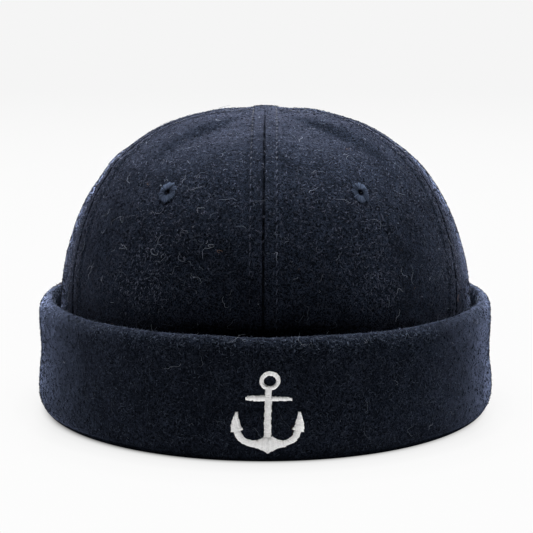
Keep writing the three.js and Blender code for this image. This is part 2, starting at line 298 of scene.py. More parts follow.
def remap(tree, value, given, wanted, kind="LINEAR"):
    """Runs between the two wanted values while a socket runs between the two given ones, and
    stays level beyond them."""
    made = shader_node(tree, "MapRange", {
        "Value": value,
        "From Min": given[0],
        "From Max": given[1],
        "To Min": wanted[0],
        "To Max": wanted[1],
    }, interpolation_type=kind)
    return made.outputs["Result"]


def two_tone(tree, shade, dark, light, start=0.0):
    """Colour that runs from dark to light while a shade runs from its start to 1."""
    colour = shader_node(tree, "ValToRGB", {"Fac": shade})
    low, high = colour.color_ramp.elements
    low.position = start
    low.color = (*dark, 1)
    high.color = (*light, 1)
    return colour.outputs["Color"]


def new_material(name):
    """Empty node material, ready for a surface shader."""
    material = bpy.data.materials.new(name)
    material.use_nodes = True
    material.node_tree.nodes.clear()
    return material, material.node_tree


def cover(tree, inputs):
    """Gives a material its surface shader and output."""
    surface = shader_node(tree, "BsdfPrincipled", inputs)
    shader_node(tree, "OutputMaterial", {"Surface": surface.outputs["BSDF"]})


def worm_lines(tree, place, scale, shift, width):
    """Thin curly lines: the band of a noise round its middle value, as felted fibres lie."""
    moved = shader_node(tree, "Mapping", {"Vector": place, "Location": shift})
    noise = shader_node(tree, "TexNoise", {
        "Vector": moved.outputs["Vector"], "Scale": scale, "Detail": 1.0, "Distortion": 0.7,
    })
    away = maths(tree, "ABSOLUTE", maths(tree, "SUBTRACT", noise.outputs["Fac"], 0.5))
    return remap(tree, away, (width, 0.0), (0.0, 1.0), "SMOOTHSTEP")


wool_deep = (0.0011, 0.0015, 0.0024)
wool_fibre = (0.0163, 0.0205, 0.032)
wool_sheen = (0.51, 0.61, 0.97)
crown_sheen = (0.57, 0.6, 0.86)


def wool_material(name, sheen_tint, sheen, sheen_roughness, raised=0.4):
    """Felted wool: dark cloth under curly lighter fibres of two sizes, mottled by slow noise,
    raised by the same fibres, with the soft sheen of the nap at grazing angles."""
    material, tree = new_material(name)
    place = shader_node(tree, "TexCoord").outputs["Object"]
    coarse = worm_lines(tree, place, 620.0, (0.0, 0.0, 0.0), 0.05)
    fine = worm_lines(tree, place, 1000.0, (0.3, 0.7, 0.1), 0.06)
    grain = shader_node(tree, "TexNoise", {
        "Vector": place, "Scale": 1800.0, "Detail": 2.0,
    })
    mottle = shader_node(tree, "TexNoise", {
        "Vector": place, "Scale": 110.0, "Detail": 3.0, "Roughness": 0.6,
    })
    shown = remap(tree, mottle.outputs["Fac"], (0.3, 0.7), (0.35, 1.0))
    lines = maths(tree, "MULTIPLY", maths(tree, "MAXIMUM", coarse, fine), shown)
    mixed = maths(tree, "MULTIPLY_ADD", grain.outputs["Fac"], 0.5, lines)
    bump = shader_node(tree, "Bump", {
        "Height": mixed, "Strength": raised, "Distance": 0.15 * mm,
    })
    cover(tree, {
        "Base Color": two_tone(tree, mixed, wool_deep, wool_fibre, 0.15),
        "Normal": bump.outputs["Normal"],
        "Roughness": 1.0,
        "Specular IOR Level": 0.0,
        "Sheen Weight": sheen,
        "Sheen Roughness": sheen_roughness,
        "Sheen Tint": (*sheen_tint, 1),
    })
    return material


crown_wool = wool_material("crown_wool", crown_sheen, 0.068, 0.26)
side_wool = wool_material("side_wool", wool_sheen, 0.52, 0.15, raised=0.2)
# A sheenless copy of the wool: it paints shade into the seam slits, inside the cuff's roll and under its
# foot.
painted_shade_wool = wool_material("painted_shade_wool", wool_sheen, 0.0, 0.24)

eyelet_angle = math.radians(32)
eyelet_length = np.interp(95.4 * mm, profile_height, profile_length)
eyelet_hole = 1.9 * mm
point_hole = 0.25 * mm
hidden_length = 38 * mm
hidden_rows = 15
open_rows = 186
slit_steps = np.array([0.05, 0.18, 0.29, 0.4, 0.51, 0.64, 0.8]) * mm
slit_taper = np.array([0.7, 0.97]) * crown_length
strip_columns = 19
strip_from = 1.05 * mm
strip_to = 9 * mm
strip_most = 0.46
middle_columns = 49
inner_stride = 3
panel_rows = np.concatenate([
    np.linspace(0, hidden_length, hidden_rows, endpoint=False),
    np.linspace(hidden_length, crown_length - point_hole, open_rows + 1),
])


def panel_angles(order, side):
    """Angles of a panel's columns, row by row from left to right: close together beside both
    seams, where they keep set distances while the panel is wide enough, and even between."""
    seams = seam_at(panel_rows)
    start, end = seams[:, order], seams[:, order + 1]
    radius = crown_axes(panel_rows, (start + end) / 2)[3]
    width = ((end - start) * radius)[:, None]
    steps = np.concatenate([slit_steps, np.linspace(strip_from, strip_to, strip_columns)])
    edge = steps * np.minimum(strip_most * width / strip_to, 1) / width
    middle = np.linspace(edge[:, -1], 1 - edge[:, -1], middle_columns + 1, axis=-1)[:, 1:-1]
    across = np.concatenate([edge, middle, 1 - edge[:, ::-1]], axis=-1)
    angles = side * (start[:, None] + across * (end - start)[:, None])
    return angles[:, ::side]


def block_loop(index, row, column, half):
    """Indices round a square block of a grid, counter-clockwise from its lower left corner and
    back to it."""
    block = index[row - half:row + half + 1, column - half:column + half + 1]
    return np.concatenate([block[0, :-1], block[:-1, -1], block[-1, :0:-1], block[::-1, 0]])


def round_off(points, loop, centre, out):
    """Moves a loop of points, in the plane of the cloth, onto a circle round the hole's centre."""
    away = points[loop] - centre
    level = away - (away @ out)[:, None] * out
    points[loop] += unit(level) * eyelet_hole - level


def wool_panel(name, order, side):
    """Closed wall of one panel: a fine outer face, a coarser inner face and strips between their
    edges, with a round hole for the eyelet in the front panels. The slits along its seams, which
    narrow towards the point, are in the sheenless wool as painted shade, and a side panel has the
    front's wool along its front."""
    angles = panel_angles(order, side)
    face = crown_surface(panel_rows[:, None], angles)
    rows, columns = angles.shape
    outer = np.arange(rows * columns).reshape(rows, columns)
    inner_points = face["inner"][::inner_stride, ::inner_stride]
    inner = rows * columns + np.arange(inner_points[..., 0].size).reshape(inner_points.shape[:2])
    points = np.concatenate([face["point"].reshape(-1, 3), inner_points.reshape(-1, 3)])
    outer_quads = grid_quads(outer)
    inner_quads = grid_quads(inner)[..., ::-1]
    faces = [
        edge_strip(outer[0, ::-1], inner[0, ::-1]),
        edge_strip(outer[-1], inner[-1]),
        edge_strip(outer[:, 0], inner[:, 0]),
        edge_strip(outer[::-1, -1], inner[::-1, -1]),
    ]
    if order == 0:
        centre = crown_point(eyelet_length, side * eyelet_angle)
        out = crown_axes(eyelet_length, side * eyelet_angle)[2]
        apart = np.linalg.norm(inner_points - centre, axis=-1)
        row, column = np.unravel_index(apart.argmin(), apart.shape)
        loops = []
        for index, quads, stride in ((outer, outer_quads, inner_stride), (inner, inner_quads, 1)):
            loops.append(block_loop(index, stride * row, stride * column, stride))
            round_off(points, loops[-1], centre, out)
            block = tuple(slice(stride * (at - 1), stride * (at + 1)) for at in (row, column))
            quads[block] = -1
        faces.append(edge_strip(*loops))
    # The slit faces, fewer towards the point, take the sheenless wool as painted shade.
    painted_shade_columns = np.interp(panel_rows[:-1], slit_taper, (len(slit_steps) - 2, 0))
    slit = np.arange(columns - 1) < painted_shade_columns[:, None]
    slit = slit | slit[:, ::-1]
    strip = np.arange(columns - 1)[::side] < len(slit_steps) + strip_columns - 1
    strip = strip & ~slit & (order == 1)
    for quads in (outer_quads[~slit & ~strip], inner_quads.reshape(-1, 4)):
        faces.append(quads[quads[:, 0] >= 0])
    open_count = sum(len(part) for part in faces)
    faces += [outer_quads[slit], outer_quads[strip]]
    piece = add_piece("wool_" + name, points, faces, side_wool if order == 1 else crown_wool)
    piece.data.materials.append(painted_shade_wool)
    piece.data.materials.append(crown_wool)
    kinds = np.repeat(np.arange(3, dtype=np.int32), [open_count, slit.sum(), strip.sum()])
    piece.data.polygons.foreach_set("material_index", kinds)
    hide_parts(name)


for hand, side in (("left", -1), ("right", 1)):
    for order, place in enumerate(("front", "side", "back")):
        wool_panel(f"panel_{place}_{hand}", order, side)

# Topstitching. A row of lockstitches in slightly lighter navy thread runs along both sides of
# every crown seam, through the panel and the seam allowance under it. The thread is darker near
# the point, darker low on the crown as painted shade, and a little lighter on the right half as
# painted light.
stitch_length = 2.7 * mm
stitch_radius = 0.14 * mm
stitch_thinnest = 0.7
stitch_lift = 0.24 * mm
stitch_sink = 0.3 * mm
stitch_arch_power = 0.6
stitch_slant = 0.5 * mm
stitch_sections = 7
stitch_sides = 6
stitch_narrowest = 13 * mm
stitch_shades = (0.0, 0.35)
stitch_right_painted_light = 0.2
stitch_duller = [(0.35, 108 * mm, 119 * mm), (0.25, 80 * mm, 48 * mm)]


def swept_quads(count, ring, closed=False):
    """Quads between neighbouring sections of a swept body, each section a ring of points."""
    index = np.arange(count * ring).reshape(count, ring)
    index = np.concatenate([index, index[:, :1]], axis=1)
    if closed:
        index = np.concatenate([index, index[:1]])
    return grid_quads(index.T).swapaxes(0, 1).reshape(-1, 4)


def many(faces, count, size):
    """The same faces repeated for a count of like bodies with a given number of points each."""
    return (faces + size * np.arange(count)[:, None, None]).reshape(-1, faces.shape[1])


def tube_rings(middle, thick, beside, out, sides):
    """Rings of points round middle lines, in the plane of the two directions across them."""
    turn = 2 * math.pi * np.arange(sides) / sides
    ring = np.cos(turn)[:, None] * beside[..., None, :] + np.sin(turn)[:, None] * out[..., None, :]
    return middle[..., None, :] + thick[..., None, None] * ring


def tube_faces(count, sections, sides):
    """Faces of a count of like tubes, each a run of rings with a cap on both ends."""
    size = sections * sides
    ring = np.arange(sides)[None]
    tube = (swept_quads(sections, sides), ring[:, ::-1], ring + size - sides)
    return [many(faces, count, size) for faces in tube]


def thread_material(name, dark, light, roughness, gleam, grain=0.35):
    """Satin thread: its own shade plus the grain of its plies, by fine noise, with a soft gleam."""
    material, tree = new_material(name)
    place = shader_node(tree, "TexCoord").outputs["Object"]
    tone = shader_node(tree, "Attribute", attribute_name="tone").outputs["Fac"]
    plies = shader_node(tree, "TexNoise", {
        "Vector": place, "Scale": 2200.0, "Detail": 2.0,
    }).outputs["Fac"]
    bump = shader_node(tree, "Bump", {
        "Height": plies, "Strength": 0.3, "Distance": 0.08 * mm,
    })
    cover(tree, {
        "Base Color": two_tone(tree, maths(tree, "MULTIPLY_ADD", plies, grain, tone), dark, light),
        "Normal": bump.outputs["Normal"],
        "Roughness": roughness,
        "Specular IOR Level": gleam,
    })
    return material


def set_tone(piece, tone):
    """Stores a shade for each point, which the thread's colour follows."""
    attribute = piece.data.attributes.new("tone", "FLOAT", "POINT")
    attribute.data.foreach_set("value", np.asarray(tone, np.float32).ravel())


def stitch_rings(order, side, from_end):
    """Rings of all stitches of one row: each stitch runs along the panel at a set distance from
    its seam, arches over the cloth by a power of a sine and dives into it at both ends."""
    seams = seam_at(panel_rows)
    width = (seams[:, order + 1] - seams[:, order]) * crown_axes(panel_rows, seams[:, order])[3]
    last = panel_rows[width > stitch_narrowest][-1]
    starts = np.arange(hidden_length, last, stitch_pitch)
    share = np.linspace(0, 1, stitch_sections)
    length = starts[:, None] + stitch_length * share
    seam = seam_at(length)[..., order + from_end]
    inwards = -1 if from_end else 1
    radius = crown_axes(length, side * seam)[3]
    face = crown_surface(length, side * (seam + inwards * stitch_row / radius))
    arch = np.sin(math.pi * share) ** stitch_arch_power
    rise = -stitch_sink + (stitch_sink + stitch_lift) * arch
    drift = stitch_slant * (share - 0.5)
    middle = face["point"] + face["out"] * rise[:, None] + face["around"] * drift[:, None]
    thick = stitch_radius * (stitch_thinnest + (1 - stitch_thinnest) * arch)
    rings = tube_rings(middle, thick, face["around"], face["out"], stitch_sides)
    return rings.reshape(-1, stitch_sections * stitch_sides, 3)


stitches = np.concatenate([
    stitch_rings(order, side, from_end)
    for side in (-1, 1) for order in (0, 1, 2) for from_end in (0, 1)
])
stitch_height = stitches[..., 2].mean(axis=1)
stitch_tone = np.random.default_rng(11).uniform(*stitch_shades, len(stitches))
# Painted light on the right half; below, darker near the point and, as painted shade, low on the crown.
stitch_tone += stitch_right_painted_light * (np.arange(len(stitches)) >= len(stitches) // 2)
for duller, low, high in stitch_duller:
    stitch_tone -= duller * smooth_step(stitch_height, low, high)
navy_thread = thread_material("navy_thread", (0.004, 0.005, 0.008), (0.063, 0.072, 0.11), 0.7, 0.05)
stitch_faces = tube_faces(len(stitches), stitch_sections, stitch_sides)
topstitching = add_piece("topstitching", stitches, stitch_faces, navy_thread)
set_tone(topstitching, np.repeat(stitch_tone, stitch_sections * stitch_sides))

# Eyelets. Each is a small hole bound all round with satin stitches of blue-grey thread, which
# pass over the edge of the hole, so that the binding swells to a ring with an uneven outer edge.
eyelet_bore = 0.8 * mm
eyelet_flange = 3.95 * mm
eyelet_crest = 2.3 * mm
eyelet_swell = 1.9 * mm
eyelet_raise = 1.15 * mm
eyelet_sink = 0.25 * mm
eyelet_tall = 1.38
eyelet_threads = 38
eyelet_reaches = (-0.16, 0.1)
eyelet_uneven = 0.1
eyelet_notch = 0.16
eyelet_groove = 0.32
eyelet_shades = (0.45, 1.05)
eyelet_groove_painted_shade = 0.15
eyelet_darker = 0.15
bore_painted_shade_between = (0.72, 0.95)
eyelet_back_reach = 0.8
eyelet_back_swell = 0.9 * mm
eyelet_back_start = 0.2
thread_samples = 8
eyelet_top = 24
eyelet_back = 10
eyelet_thread = thread_material("eyelet_thread", (0.003, 0.004, 0.007), (0.05, 0.065, 0.1), 0.8, 0.0)


def eyelet(name, side, seed):
    """Ring swept round the hole: half an ellipse of radius over the cloth, then down the bore
    and out along the back, with a rounded ridge for each thread and threads of uneven length."""
    random = np.random.default_rng(seed)
    centre = crown_surface(np.array(eyelet_length), np.array(side * eyelet_angle))
    count = eyelet_threads * thread_samples
    turn = 2 * math.pi * np.arange(count) / count
    thread = np.arange(count) // thread_samples
    ridge = 1 - ((np.arange(count) % thread_samples + 0.5) / thread_samples * 2 - 1) ** 2
    longer = random.uniform(*eyelet_reaches, eyelet_threads)[thread]
    higher = random.uniform(-eyelet_uneven, eyelet_uneven, eyelet_threads)[thread]
    share = np.linspace(0, 1, eyelet_top)
    reach = (eyelet_flange * (1 + longer) * (1 - eyelet_notch + eyelet_notch * ridge))[:, None]
    radius = reach + (eyelet_bore - reach) * share
    dome = np.sqrt(1 - ((radius - eyelet_crest) / eyelet_swell).clip(-0.98, 0.98) ** 2)
    crest = (1 + higher) * (1 - eyelet_groove + eyelet_groove * ridge)
    top = -eyelet_sink + eyelet_raise * dome * crest[:, None]
    down = np.linspace(0, 1, eyelet_back)
    back_radius = eyelet_bore + (eyelet_back_reach * eyelet_flange - eyelet_bore) * down ** 2
    back_turn = math.pi * (eyelet_back_start + (1 - eyelet_back_start) * down)
    back_height = -wool_wall - eyelet_back_swell * np.sin(back_turn)
    radius = np.hstack([radius, np.tile(back_radius, (count, 1))])
    height = np.hstack([top, np.tile(back_height, (count, 1))])
    upright = unit(np.cross(centre["out"], [1, 0, 0]))
    beside = np.cross(upright, centre["out"])
    away = np.cos(turn)[:, None] * beside + eyelet_tall * np.sin(turn)[:, None] * upright
    points = centre["point"] + radius[..., None] * away[:, None] + height[..., None] * centre["out"]
    faces = swept_quads(count, eyelet_top + eyelet_back, closed=True)
    piece = add_piece("stitched_" + name, points, [faces], eyelet_thread)
    shade = random.uniform(*eyelet_shades, eyelet_threads)[thread]
    # Painted shade: each thread darkens into the grooves beside it, and the ring darkens towards the
    # bore and is dark on the back.
    shade = shade * (eyelet_groove_painted_shade + (1 - eyelet_groove_painted_shade) * ridge)
    lit = np.concatenate([1 - smooth_step(share, *bore_painted_shade_between), np.zeros(eyelet_back)])
    set_tone(piece, shade[:, None] * lit - eyelet_darker)
    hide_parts(name)


eyelet("eyelet_left", -1, 21)
eyelet("eyelet_right", 1, 22)

# Cuff. A wide strip of the same wool, doubled and closed to a ring, is folded up round the
# crown's lower edge. Its top edge is a soft roll, its face swells at the belly and below the
# roll, and a hem inside holds the crown. Inside the roll and under its foot the wool is the
# sheenless copy, as painted shade.
cuff_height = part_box("cuff")[1].z
cuff_out = 7.7 * mm
cuff_half_width = crown_half_width + cuff_out
cuff_half_depth = crown_half_depth + cuff_out
cuff_wave = 0.4 * mm
cuff_lean = 0.75 * mm
cuff_belly = 11 * mm
cuff_lip = 38 * mm
cuff_layers = [(0.32 * mm, 22 * mm, 5), (0.13 * mm, 7 * mm, 6)]
loose_between = (1 * mm, 8 * mm)
loose_outside = 0.5 * mm
roll_rise = 5.8 * mm
roll_outside = 4.2 * mm
roll_inside = 2.2 * mm
round_rise = 8.5 * mm
round_run = 5 * mm
hem_height = 14 * mm
hem_thick = 1.8 * mm
hem_gap = 0.5 * mm
hem_round = 2.4 * mm
grip_height = 12 * mm
grip_gap = 0.1 * mm
channel_gap = 0.3 * mm
cuff_sides = 432
round_steps = 16
face_steps = 40
roll_steps = 30
tuck_steps = 14
hem_steps = 8
inside_steps = 44
under_height = 1.95 * mm


def cuff_face(height):
    """Offset of the cuff's face from the crown's lower edge: it leans in as it rises, waves once
    between belly and lip, and rounds off below by a quarter of an ellipse."""
    rise = np.maximum(height - cuff_belly, 0) / (cuff_lip - cuff_belly)
    below = np.maximum(1 - height / round_rise, 0)
    rounded = round_run * (1 - np.sqrt(1 - below ** 2))
    return cuff_out + cuff_wave * np.cos(2 * math.pi * rise) - cuff_lean * rise - rounded


def cuff_point(out, angle, height):
    """Point at an offset from the crown's lower oval, an angle round it and a height."""
    x = (crown_half_width + out) * np.sin(angle)
    y = -(crown_half_depth + out) * np.cos(angle)
    return np.stack(np.broadcast_arrays(x, y, height), axis=-1)


def arc(turn, out, height, half_out, half_height):
    """Offsets and heights along the arc of an ellipse, from its middle, its halves and its turn."""
    return np.stack([out + half_out * np.cos(turn), height + half_height * np.sin(turn)])


def cuff_section():
    """Offsets and heights once round the cuff's section: up the face, over the roll, down inside,
    round the channel that holds the crown, over the hem and back under it."""
    roll_foot = cuff_height - roll_rise
    rounding = math.pi / 2 * np.linspace(0, 1, round_steps, endpoint=False)
    heights = np.concatenate([
        round_rise * (1 - np.cos(rounding)),
        np.linspace(round_rise, roll_foot, face_steps, endpoint=False),
    ])
    roll_top = cuff_face(roll_foot) - roll_outside
    roll_turn = np.linspace(0, math.pi, roll_steps)
    roll_half = np.where(np.cos(roll_turn) > 0, roll_outside, roll_inside)
    inner_edge = roll_top - roll_inside
    tuck = np.linspace(0, 1, tuck_steps)[1:]
    hem_outer = -wool_wall - hem_gap
    hem_inner = hem_outer - hem_thick
    hem_half = hem_thick / 2
    hem_turn = np.linspace(0, math.pi, hem_steps)
    fold_turn = np.linspace(math.pi, 1.5 * math.pi, hem_steps)
    return np.concatenate([
        np.stack([cuff_face(heights), heights]),
        arc(roll_turn, roll_top, roll_foot, roll_half, roll_rise),
        np.stack([
            inner_edge + (grip_gap - inner_edge) * tuck,
            roll_foot + (grip_height - roll_foot) * tuck,
        ]),
        np.array([[grip_gap, hem_outer], [crown_foot - channel_gap] * 2]),
        arc(hem_turn, (hem_outer + hem_inner) / 2, hem_height - hem_half, hem_half, hem_half),
        arc(fold_turn, hem_inner + hem_round, hem_round, hem_round, hem_round),
    ], axis=1)


section_out, section_height = cuff_section()
section_run = np.stack([section_out, section_height], axis=-1)
section_along = unit(np.roll(section_run, -1, axis=0) - np.roll(section_run, 1, axis=0))
section_loose = smooth_step(section_height, *loose_between) * (section_out > loose_outside)
cuff_angle = 2 * math.pi * np.arange(cuff_sides) / cuff_sides
cuff_smooth = cuff_point(section_out, cuff_angle[:, None], section_height)
cuff_rise = soft_waves(cuff_smooth, cuff_layers) * section_loose
cuff_points = cuff_point(
    section_out + cuff_rise * section_along[:, 1],
    cuff_angle[:, None],
    section_height - cuff_rise * section_along[:, 0],
)
cuff_quads = swept_quads(cuff_sides, len(section_out), closed=True)
cuff_wool = wool_material("cuff_wool", wool_sheen, 0.29, 0.3, raised=0.25)
cuff = add_piece("wool_cuff", cuff_points, [cuff_quads], cuff_wool)
cuff.data.materials.append(painted_shade_wool)
cuff_step = np.arange(len(cuff_quads)) % len(section_out)
# Inside the roll and under the cuff's foot the faces take the sheenless wool as painted shade.
cuff_painted_shade = cuff_step >= len(section_out) - inside_steps
cuff_painted_shade = cuff_painted_shade | (section_height[cuff_step] < under_height)
cuff.data.polygons.foreach_set("material_index", cuff_painted_shade.astype(np.int32))
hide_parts("cuff")

# Anchor. White satin stitch is worked straight onto the cuff: in every stroke the threads lie
# side by side from one edge of the stroke to the other, in a low dome with ragged ends. Tables of
# edges are in millimetres. A painted shadow crosses the shank's foot, where its threads dive in.
anchor_foot = np.array([1.0, 4.1]) * mm
anchor_lean = math.radians(1.6)
anchor_sink = 0.25 * mm
anchor_pitch = 0.38 * mm
anchor_ragged = 0.28 * mm
anchor_ends = (-0.4, 1)
ring_ragged = 0.5
anchor_dome_power = 2.3
anchor_uneven = 0.06
anchor_groove = 0.18
anchor_shades = (-0.02, 0.28)
anchor_crest_painted_light = 0.2
anchor_ring_darker = 0.1
painted_foot_shadow_middle = np.array([-0.4, 6.1]) * mm
painted_foot_shadow_half = np.array([1.5, 0.45]) * mm
painted_foot_shadow_darker = 0.6
anchor_samples = 6
anchor_across = 13
left_stretch = 1.035
right_stretch = 0.97
ring_turn = np.linspace(0, 2 * math.pi, 61)[:-1]
ring_round = np.stack([np.cos(ring_turn), np.sin(ring_turn)], axis=-1)
ring_middle = np.array([0, 27.1])
ring_outer = np.array([3.85, 3.6])
ring_inner = np.array([2.3, 1.98])
stock_lower = [(-8.8, 20.1), (-6.5, 19.7), (-2, 19.5), (2, 19.65), (6.5, 19.6), (8.4, 19.7)]
stock_upper = [(-8.8, 21.05), (-6.5, 21.5), (-2, 21.5), (2, 21.15), (6.5, 20.95), (8.4, 20.45)]
shank_right = [(-1.55, 25.2), (-1.55, 20.7), (-1.7, 6.3)]
shank_left = [(0.8, 25.2), (0.8, 20.7), (0.9, 6.3)]
arm_outer = [
    (0, 0), (1.95, 1.05), (3.82, 2.09), (6.08, 2.58), (8.38, 3.5), (10.45, 4.73), (11.79, 6.33),
    (12.3, 8.3),
]
arm_inner = [
    (0, 6.6), (1.5, 6.45), (2.68, 5.78), (4.0, 5.16), (5.83, 5.04), (7.66, 5.6), (9.1, 6.76),
    (9.9, 8.6),
]
fluke_outer = [(11.85, 15.5), (12.8, 12.65), (13.4, 10.57), (13.4, 7.95)]
fluke_inner = [(11.3, 15.5), (10.6, 12.8), (9.9, 10.6), (9.0, 9.0)]


def paired(first, second, height):
    """A stroke between two edges right of the shank and its mirror image on the left, each with
    its own stretch."""
    right = [[(right_stretch * x, y) for x, y in edge] for edge in (first, second)]
    left = [[(-left_stretch * x, y) for x, y in edge] for edge in (second, first)]
    return [(*right, height, False), (*left, height, False)]


satin_strokes = [
    (stock_lower, stock_upper, 0.85, False),
    *paired(arm_outer, arm_inner, 1.1),
    *paired(fluke_inner, fluke_outer, 1.25),
    (ring_middle + ring_outer * ring_round, ring_middle + ring_inner * ring_round, 0.9, True),
    (shank_right, shank_left, 1.45, False),
]


def smooth_edge(points, share, closed):
    """Curve through a stroke's edge points at shares of its length: each stretch blends four
    neighbouring points with the usual cubic of a spline that passes through them."""
    points = np.asarray(points, float)
    if closed:
        knots = np.concatenate([points[-1:], points, points[:2]])
    else:
        knots = np.concatenate([points[:1], points, points[-1:]])
    spans = len(knots) - 3
    run = np.linalg.norm(np.diff(knots[1:spans + 2], axis=0), axis=-1)
    place = np.interp(share * run.sum(), np.concatenate([[0], np.cumsum(run)]), np.arange(spans + 1))
    first = np.minimum(place.astype(int), spans - 1)
    t = (place - first)[:, None]
    a, b, c, d = (knots[first + k] for k in range(4))
    return b + 0.5 * t * (c - a + t * (2 * a - 5 * b + 4 * c - d + t * (3 * (b - c) + d - a)))


def satin_stroke(right_edge, left_edge, height, closed, random):
    """Rings across one stroke: from its right edge to its left in a low dome, with a rounded
    ridge and its own length for every thread, and back along the cloth."""
    share = np.linspace(0, 1, 400)
    middle = 0.5 * (smooth_edge(right_edge, share, closed) + smooth_edge(left_edge, share, closed))
    run = np.linalg.norm(np.diff(middle, axis=0), axis=-1).sum() * mm
    threads = int(round(run / anchor_pitch))
    count = threads * anchor_samples
    thread = np.arange(count) // anchor_samples
    within = (np.arange(count) % anchor_samples + 0.5) / anchor_samples
    ridge = np.sqrt(1 - (2 * within - 1) ** 2)
    share = (np.arange(count) + 0.5) / count
    right = smooth_edge(right_edge, share, closed) * mm
    left = smooth_edge(left_edge, share, closed) * mm
    over = unit(left - right)
    ragged = random.uniform(*anchor_ends, (2, threads))[:, thread // 2 * 2] * anchor_ragged * ridge
    ragged = ragged * (ring_ragged if closed else 1)
    right = right - over * ragged[0][:, None]
    left = left + over * ragged[1][:, None]
    across = (1 - np.cos(math.pi * np.linspace(0, 1, anchor_across))) / 2
    flat = right[:, None] + (left - right)[:, None] * across[:, None]
    dome = np.sqrt(1 - np.abs(2 * across - 1) ** anchor_dome_power)
    uneven = 1 + random.uniform(-anchor_uneven, anchor_uneven, threads)[thread]
    lift = dome * (uneven * (1 - anchor_groove + anchor_groove * ridge))[:, None] * height * mm
    flat = np.concatenate([flat, left[:, None], right[:, None]], axis=1)
    lift = np.concatenate([lift, np.full((count, 2), -anchor_sink)], axis=1)
    # Each thread is lighter along its crest and darker at its sides: painted highlight and painted
    # shade.
    tone = random.uniform(*anchor_shades, threads)[thread] + anchor_crest_painted_light * ridge
    tone = tone - anchor_ring_darker * closed
    # Painted shadow across the shank's foot.
    painted_foot_shadow = (np.abs(flat - painted_foot_shadow_middle) < painted_foot_shadow_half).all(axis=-1)
    return flat, lift, (tone[:, None] - painted_foot_shadow_darker * painted_foot_shadow).ravel()


anchor_points, anchor_faces, anchor_caps, anchor_tone = [], [], [], []
anchor_random = np.random.default_rng(31)
anchor_ring = anchor_across + 2
anchor_start = 0
for right_edge, left_edge, height, closed in satin_strokes:
    flat, lift, tone = satin_stroke(right_edge, left_edge, height, closed, anchor_random)
    x = anchor_foot[0] + flat[..., 0] + flat[..., 1] * math.tan(anchor_lean)
    z = anchor_foot[1] + flat[..., 1]
    anchor_points.append(cuff_point(cuff_face(z) + lift, x / cuff_half_width, z))
    anchor_faces.append(anchor_start + swept_quads(len(flat), anchor_ring, closed))
    if not closed:
        cap = anchor_start + np.arange(anchor_ring)[None]
        anchor_caps += [cap[:, ::-1], cap + (len(flat) - 1) * anchor_ring]
    anchor_tone.append(tone)
    anchor_start += flat[..., 0].size
white_thread = thread_material("white_thread", (0.52, 0.515, 0.51), (1.0, 0.995, 0.99), 0.6, 0.2, 1.2)
anchor = add_piece("satin_anchor", np.concatenate(anchor_points), [
    np.concatenate(anchor_faces), np.concatenate(anchor_caps),
], white_thread)
set_tone(anchor, np.concatenate(anchor_tone))
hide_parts("anchor")

# Nap. Short fibres of the felted wool lie in all directions on the crown and the cuff, a little
# lighter than the cloth, and stand off it just enough to soften its outline. Most are dark and few
# are light. Their tone holds painted light and shade: lighter high on the crown, on its flanks and
# on the front of the cuff's roll, darker low at the front and in a patch on each flank, and evener,
# so lighter on the whole, low on the crown's flanks and at the cuff's ends.
nap_on_crown = 46000
nap_on_cuff = 30000
nap_lengths = (0.7 * mm, 2.2 * mm)
nap_half = 0.14 * mm
nap_halves = (0.5, 1.4)
nap_tilt = 0.2
nap_bends = (0.35, 0.65)
nap_sink = 0.08 * mm
nap_lift = 0.14 * mm
nap_least_lift = 0.08 * mm
nap_tip_lift = 0.2 * mm
nap_flatter = 0.65
nap_flatter_between = (0.55, 0.9)
nap_lowest = 0.2 * mm
nap_below_top = 1.5 * mm
nap_above_floor = 3.5 * mm
nap_outside = 1.2 * mm
gather_across = np.radians([-18, 36])
gather_along = (0.54, 0.24)
# Painted light and shade in the nap's tone: brightness by height, flank, two dimmed patches and the
# cuff's roll, and evener shades low on the flanks and at the cuff's ends.
front_painted_shade = 0.24
top_painted_light = 0.78
bright_between = (0.31, 0.62)
flank_between = (0.28, 0.33)
flank_steps = [(0.3, 0.15, 0.6), (0.75, 0.7, 0.9)]
flank_bell = (0.28, 0.15, 0.5)
flank_scale = 1.05
flank_fall = 0.25
flank_fall_between = (0.35, 0.46)
painted_shade_patches = [(-1, (0.62, 0.17, 0.85), (0.43, 0.13)), (1, (0.45, 0.13, 0.75), (0.36, 0.1))]
bright_cuff = 0.42
roll_painted_light = 0.34
roll_between = (cuff_height - 7 * mm, cuff_height - 1.5 * mm)
roll_front_between = (78 * mm, 48 * mm)
crown_contrast = 2
crown_evener = 1.5
evener_aside = (0.08, 0.25)
evener_below = (0.52, 0.36)
cuff_contrast = 1.3
cuff_evener = 0.95
evener_ends = (60 * mm, 88 * mm)
nap_dark = (0.0018, 0.0023, 0.0038)


def crown_places(count, random, gather=0.0):
    """Random lengths and angles spread evenly over the open part of the crown, by drawing cells
    of a fine grid in step with their area, and more of them, if gathered, left of the front,
    by a bell round a set angle and share of the height."""
    lengths = np.linspace(hidden_length, crown_length - nap_below_top, 161)
    angles = np.linspace(-math.pi, math.pi, 241)
    middle = (lengths[:-1] + lengths[1:]) / 2
    facing = (angles[:-1] + angles[1:]) / 2
    area = crown_axes(middle[:, None], facing[None])[3]
    gathered = bell(facing, *gather_across) * bell(middle / crown_length, *gather_along)[:, None]
    area = area * (1 + gather * gathered)
    cell = random.choice(area.size, count, p=(area / area.sum()).ravel())
    row, column = np.unravel_index(cell, area.shape)
    length = lengths[row] + random.uniform(0, 1, count) * (lengths[1] - lengths[0])
    return length, angles[column] + random.uniform(0, 1, count) * (angles[1] - angles[0])


